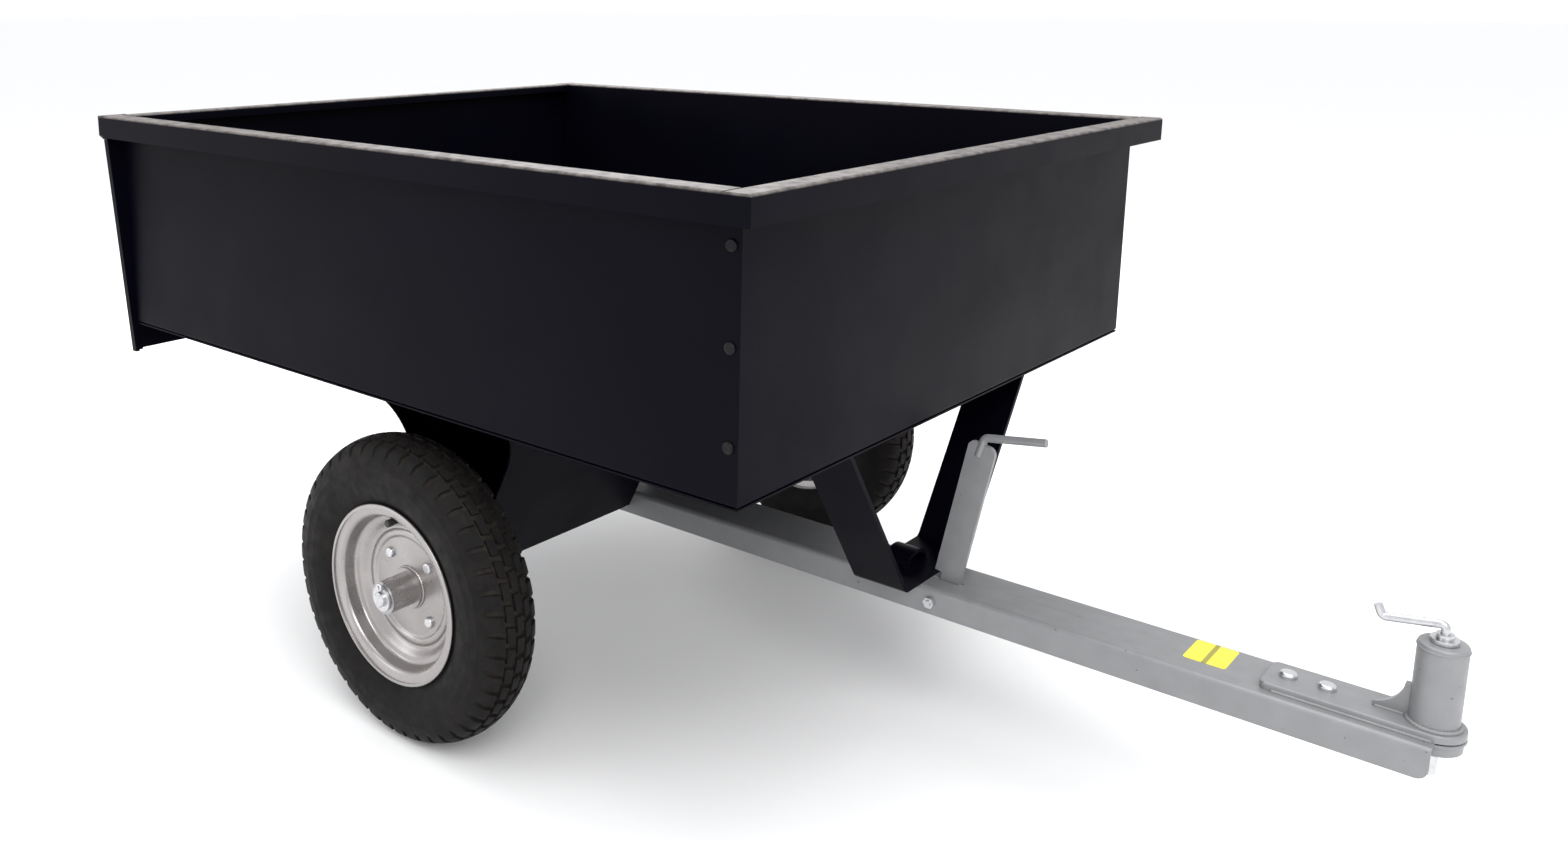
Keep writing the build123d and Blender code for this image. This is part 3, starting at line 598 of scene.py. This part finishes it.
def build_tyre(name, side, settings):
    """A tyre with a block tread. Its outer face is the contour moved inwards along its own
    normal by depth x (1 - block), and turned by a lead that grows with the distance from the
    middle of the tread, so that the blocks slant."""
    along, line, outward = tyre_contour()
    across = across_stations(along[-1])
    base = np.stack([np.interp(across, along, line[:, k]) for k in (0, 1)], 1)
    normal = np.stack([np.interp(across, along, outward[:, k]) for k in (0, 1)], 1)
    share = round_stations(settings)
    mask = block_mask(across, share, settings)
    edge, tip = BLOCK_ROWS[-1][1], FULL_DEPTH_REACH
    fade = np.clip((edge - np.abs(across)) / (edge - tip), 0, 1)
    depth = settings.tread_depth * fade * (1 - mask)
    for middle, rise in RINGS:
        depth -= rise * np.exp(-((np.abs(across) - middle) / RING_WIDTH) ** 2)
    outer = base[None] - normal[None] * depth[..., None]
    inner_at = np.linspace(along[-1], along[0], 40)
    inside = line - outward * CASING
    inner = np.stack([np.interp(inner_at, along, inside[:, k]) for k in (0, 1)], 1)
    inner = np.broadcast_to(inner, (len(share), *inner.shape))
    loop = np.tile(np.concatenate([outer, inner], 1), (settings.pitches, 1, 1))
    pitch = TAU / settings.pitches
    angle = (np.arange(settings.pitches)[:, None] + share).ravel() * pitch
    lead = BLOCK_SLANT * pitch * np.clip(np.abs(across) / tip, 0, 1)
    lead = np.concatenate([lead, np.zeros(len(inner_at))])
    turn = angle[:, None] + lead
    radius, width = loop[..., 0], loop[..., 1]
    x = AXLE[0] + radius * np.cos(turn)
    z = AXLE[2] + radius * np.sin(turn)
    points = np.stack([x, side * WHEEL_Y + side * width, z], -1)
    tyre = add_mesh(name, points, grid_faces(len(turn), loop.shape[1]))
    share_deep = np.clip(depth, 0, None) / settings.tread_depth
    groove = np.concatenate([share_deep, np.zeros_like(inner[..., 0])], 1)
    groove = np.tile(groove, (settings.pitches, 1)).astype(np.float32)
    held = tyre.data.attributes.new("groove", "FLOAT", "POINT")
    held.data.foreach_set("value", groove.ravel())
    return tyre


# ---- wheel rims ----
RIM_SHEET = 0.0025
RIM_STEPS = 120
# middle of the pressed sheet in (radius, outwards), from the rolled edge in to the hub
RIM_LINE = (
    (0.1135, 0.0362), (0.1170, 0.0364), (0.1166, 0.0345), (0.1130, 0.0335), (0.1045, 0.0318),
    (0.1020, 0.0290), (0.0998, 0.0150), (0.0975, 0.0118), (0.0905, 0.0098), (0.0838, 0.0034),
    (0.0795, 0.0014), (0.0765, 0.0016), (0.0742, 0.0044), (0.0690, 0.0046), (0.0664, 0.0017),
    (0.0640, 0.00125), (0.0212, 0.00125),
)


def sheet_loop(line, thickness):
    """Closed outline of a bent sheet: the line moved half the thickness to either side along
    its own normal, up one side and back down the other."""
    line = round_corners(line, 0.004, 5, closed=False)
    tangent = np.gradient(line, axis=0)
    tangent /= np.linalg.norm(tangent, axis=1)[:, None]
    normal = np.stack([-tangent[:, 1], tangent[:, 0]], 1)
    return np.concatenate([line + normal * thickness / 2, (line - normal * thickness / 2)[::-1]])


def build_rim(name, side, outward):
    """One pressed half of the rim, turned round the axle."""
    loop = sheet_loop(np.array(RIM_LINE) * (1, outward), RIM_SHEET)
    return lathe_piece(name, loop, (AXLE[0], side * WHEEL_Y, AXLE[2]), side, RIM_STEPS)


# ---- weld beads ----
HUB_WELD_RADIUS = 0.0266
HUB_WELD_OUT = 0.0029
HUB_WELD_SIZE = 0.0017
SUPPORT_SLOPE = 26.5
PIPE_SEAM_INSET = 0.006
PIPE_SEAM_LIFT = 0.0006
PIPE_SEAM_SIZE = 0.002


def weld_bead(name, path, radius, closed=False, pitch=0.0032):
    """A rope of weld half sunk in its joint: its radius at distance s along the path is
    r (1 + 0.13 |sin(pi s / pitch)|), so that it shows overlapping ripples."""
    path = np.asarray(path, float)
    step = np.linalg.norm(np.diff(path, axis=0), axis=1)
    along = np.concatenate([[0], np.cumsum(step)])
    steps = max(12, int(along[-1] / pitch * 6))
    at = np.linspace(0, along[-1], steps, endpoint=not closed)
    line = np.stack([np.interp(at, along, path[:, k]) for k in range(3)], 1)
    swell = radius * (1 + 0.13 * np.abs(np.sin(math.pi * at / pitch)))
    if not closed:
        ends = np.minimum(at, along[-1] - at)
        swell *= np.sqrt(np.clip(ends / (1.5 * radius), 0.04, 1))
    angles = np.arange(10) * TAU / 10
    points = carried(line, (np.stack([swell, swell], 1), angles), closed)
    quads = grid_faces(steps, 10, close_rows=closed)
    fans = () if closed else (range(9, -1, -1), range((steps - 1) * 10, steps * 10))
    return add_mesh(name, points, quads, fans)


def level_ring(centre, radius, z):
    """A closed circle at height z."""
    a = np.linspace(0, TAU, 97)
    return np.stack([centre[0] + radius * np.cos(a), centre[1] + radius * np.sin(a), z + 0 * a], 1)


def upright_ring(centre, radius, y):
    """A closed circle round the axle's direction, at that y."""
    a = np.linspace(0, TAU, 97)
    return np.stack([centre[0] + radius * np.cos(a), y + 0 * a, centre[2] + radius * np.sin(a)], 1)


def patch_piece(name, node, corner):
    """A thin film with round corners, as large as the CAD node."""
    low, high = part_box(node)
    corners = [(low.x, low.y), (high.x, low.y), (high.x, high.y), (low.x, high.y)]
    outline = round_corners(corners, corner, 8)
    count = len(outline)
    levels = [np.column_stack([outline, np.full(count, z)]) for z in (low.z, high.z)]
    points = np.concatenate(levels)
    fans = (range(count - 1, -1, -1), range(count, 2 * count))
    return add_mesh(name, points, grid_faces(2, count, close_rows=False), fans)


# ---- operators ----
class CART_OT_finishes(bpy.types.Operator):
    """Mix the paints, metals and rubbers, and give every CAD node its own"""

    bl_idname = "cart.finishes"
    bl_label = "Finishes"

    def execute(self, context):
        FINISHES.update(make_finishes(context.scene.cart_finishes))
        paint_nodes(*frame["nodes"])
        return {"FINISHED"}


class CART_OT_tyres(bpy.types.Operator):
    """Build the tyres with their block tread"""

    bl_idname = "cart.tyres"
    bl_label = "Tyres"

    def execute(self, context):
        for name, side in SIDES.items():
            tyre = build_tyre(f"block_tyre_{name}", side, context.scene.cart_wheels)
            finish_piece(tyre, f"wheel_{name}", FINISHES["tyre"], [f"tyre_{name}"])
        return {"FINISHED"}


class CART_OT_rims(bpy.types.Operator):
    """Build the pressed rims and the welds round their hubs"""

    bl_idname = "cart.rims"
    bl_label = "Rims"

    def execute(self, context):
        silver = FINISHES["silver_paint"]
        for name, side in SIDES.items():
            body = f"wheel_{name}"
            for half, outward in (("outer", 1), ("inner", -1)):
                rim = build_rim(f"pressed_{half}_rim_{name}", side, outward)
                finish_piece(rim, body, silver, [f"{half}_rim_{name}"])
                y = side * (WHEEL_Y + outward * HUB_WELD_OUT)
                seam = upright_ring(AXLE, HUB_WELD_RADIUS, y)
                bead = weld_bead(f"hub_weld_{half}_{name}", seam, HUB_WELD_SIZE, True)
                finish_piece(bead, body, silver)
        return {"FINISHED"}


class CART_OT_hitch(bpy.types.Operator):
    """Weld the hitch sleeve, its cap and its gusset, and stick the patch on the drawbar"""

    bl_idname = "cart.hitch"
    bl_label = "Hitch"

    def execute(self, context):
        grey = FINISHES["grey_paint"]
        radius = (SLEEVE_HIGH.x - SLEEVE_LOW.x) / 2
        rings = {
            "sleeve_weld": (radius + 0.0008, SLEEVE_LOW.z + 0.0008, 0.0023),
            "cap_weld": (radius - 0.0002, SLEEVE_HIGH.z, 0.0010),
            "ring_weld": (RING_RADIUS + 0.0006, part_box("hitch_ring")[1].z - 0.0006, 0.0017),
        }
        for name, (r, z, thick) in rings.items():
            bead = weld_bead(name, level_ring(SLEEVE_MIDDLE, r, z), thick, True)
            finish_piece(bead, "drawbar_frame", grey)
        low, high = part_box("hitch_gusset")
        for name, y in (("left", high.y), ("right", low.y)):
            foot = [(low.x + 0.001, y, low.z + 0.0004), (high.x - 0.002, y, low.z + 0.0004)]
            bead = weld_bead(f"gusset_weld_{name}", foot, 0.0016)
            finish_piece(bead, "drawbar_frame", grey)
        plate_low, plate_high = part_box("hitch_plate")
        for name, y in (("left", plate_high.y), ("right", plate_low.y)):
            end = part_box("drawbar")[1].x - 0.002
            z = plate_low.z + 0.0006
            seam = [(plate_low.x + 0.012, y, z), (end, y, z)]
            bead = weld_bead(f"plate_weld_{name}", seam, 0.0018)
            finish_piece(bead, "drawbar_frame", grey)
        film = patch_piece("yellow_patch", "drawbar_label", 0.004)
        yellow = FINISHES["yellow_label"]
        finish_piece(film, "drawbar_frame", yellow, ["drawbar_label"])
        return {"FINISHED"}


class CART_OT_bed_welds(bpy.types.Operator):
    """Weld the lock loop to its bracket and the axle pipes to the sloping panels"""

    bl_idname = "cart.bed_welds"
    bl_label = "Bed welds"

    def execute(self, context):
        black = FINISHES["black_paint"]
        low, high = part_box("lock_loop")
        for name, y in (("left", high.y), ("right", low.y)):
            foot = [(low.x + 0.001, y, low.z), (high.x - 0.001, y, low.z)]
            bead = weld_bead(f"loop_weld_{name}", foot, 0.0018)
            finish_piece(bead, "tub", black)
        for name, side in SIDES.items():
            low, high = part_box(f"axle_pipe_{name}")
            radius = (high.z - low.z) / 2
            for way, tilt in (("front", -SUPPORT_SLOPE), ("rear", 180 + SUPPORT_SLOPE)):
                a = math.radians(tilt)
                x = AXLE[0] + (radius + PIPE_SEAM_LIFT) * math.cos(a)
                z = AXLE[2] + (radius + PIPE_SEAM_LIFT) * math.sin(a)
                seam = [(x, low.y + PIPE_SEAM_INSET, z), (x, high.y - PIPE_SEAM_INSET, z)]
                bead = weld_bead(f"pipe_weld_{way}_{name}", seam, PIPE_SEAM_SIZE)
                finish_piece(bead, "tub", black)
        return {"FINISHED"}


def soft_box(name, place, towards, size, power, colour=(1, 1, 1)):
    """A square soft light at a place, facing a point."""
    lamp = bpy.data.lights.new(name, "AREA")
    lamp.size = size
    lamp.energy = power
    lamp.color = colour
    obj = bpy.data.objects.new(name, lamp)
    obj.location = place
    obj.rotation_euler = (Vector(towards) - Vector(place)).to_track_quat("-Z", "Y").to_euler()
    bpy.context.scene.collection.objects.link(obj)
    return obj


class CART_OT_stage(bpy.types.Operator):
    """Set the pale floor, the soft lights and the camera"""

    bl_idname = "cart.stage"
    bl_label = "Stage"

    def execute(self, context):
        stage = context.scene.cart_stage
        reach = stage.floor_reach
        corners = [(-reach, -reach, 0), (reach, -reach, 0), (reach, reach, 0), (-reach, reach, 0)]
        floor = add_mesh("studio_floor", corners, np.array([[0, 1, 2, 3]]))
        made, tree, shader = surface("pale_floor", (0.90, 0.90, 0.90), 0.7, specular=0.2)
        rough = spread(tree, cloud(tree, 2.0, 2), 0.3, 0.7, 0.62, 0.78)
        tree.links.new(rough, shader.inputs["Roughness"])
        floor.data.materials.append(made)
        middle = Vector((CAD_LOW + CAD_HIGH) / 2)
        soft_box("key_light", (2.6, -2.4, 3.6), middle, 2.6, 110)
        soft_box("top_light", (-0.4, 0.2, 4.2), middle, 3.4, 90)
        soft_box("back_light", (-3.0, 3.0, 2.9), middle, 2.4, 70)
        soft_box("left_light", (-2.6, -3.2, 1.9), middle, 2.2, 25)
        world = bpy.data.worlds.new("studio_air")
        world.use_nodes = True
        air = world.node_tree.nodes["Background"]
        air.inputs["Color"].default_value = (0.98, 0.985, 1.0, 1)
        air.inputs["Strength"].default_value = stage.world_light
        context.scene.world = world
        lens = bpy.data.cameras.new("camera")
        lens.lens = stage.lens
        lens.shift_x, lens.shift_y = stage.shift
        lens.clip_start, lens.clip_end = 0.05, 200
        camera = bpy.data.objects.new("camera", lens)
        camera.location = stage.eye
        look = Vector(stage.aim) - Vector(stage.eye)
        camera.rotation_euler = look.to_track_quat("-Z", "Y").to_euler()
        context.scene.collection.objects.link(camera)
        context.scene.camera = camera
        context.scene.view_settings.view_transform = "Standard"
        return {"FINISHED"}


OPERATORS = (
    CART_OT_finishes, CART_OT_tyres, CART_OT_rims, CART_OT_hitch, CART_OT_bed_welds, CART_OT_stage,
)


class CART_PT_panel(bpy.types.Panel):
    """Buttons that build the cart's finished surfaces"""

    bl_label = "Tow behind cart"
    bl_idname = "CART_PT_panel"
    bl_space_type = "VIEW_3D"
    bl_region_type = "UI"
    bl_category = "Cart"

    def draw(self, context):
        for name in SETTINGS:
            group = getattr(context.scene, name)
            box = self.layout.box()
            for key in group.__annotations__:
                box.prop(group, key)
        for operator in OPERATORS:
            self.layout.operator(operator.bl_idname)


SETTINGS = {
    "cart_wheels": WheelSettings, "cart_finishes": FinishSettings, "cart_stage": StageSettings,
}
CLASSES = (*SETTINGS.values(), *OPERATORS, CART_PT_panel)


def register():
    for cls in CLASSES:
        bpy.utils.register_class(cls)
    for name, group in SETTINGS.items():
        setattr(bpy.types.Scene, name, PointerProperty(type=group))


def unregister():
    for name in SETTINGS:
        delattr(bpy.types.Scene, name)
    for cls in reversed(CLASSES):
        bpy.utils.unregister_class(cls)


def main():
    register()
    for operator in OPERATORS:
        group, name = operator.bl_idname.split(".")
        getattr(getattr(bpy.ops, group), name)()


if __name__ == "__main__":
    main()
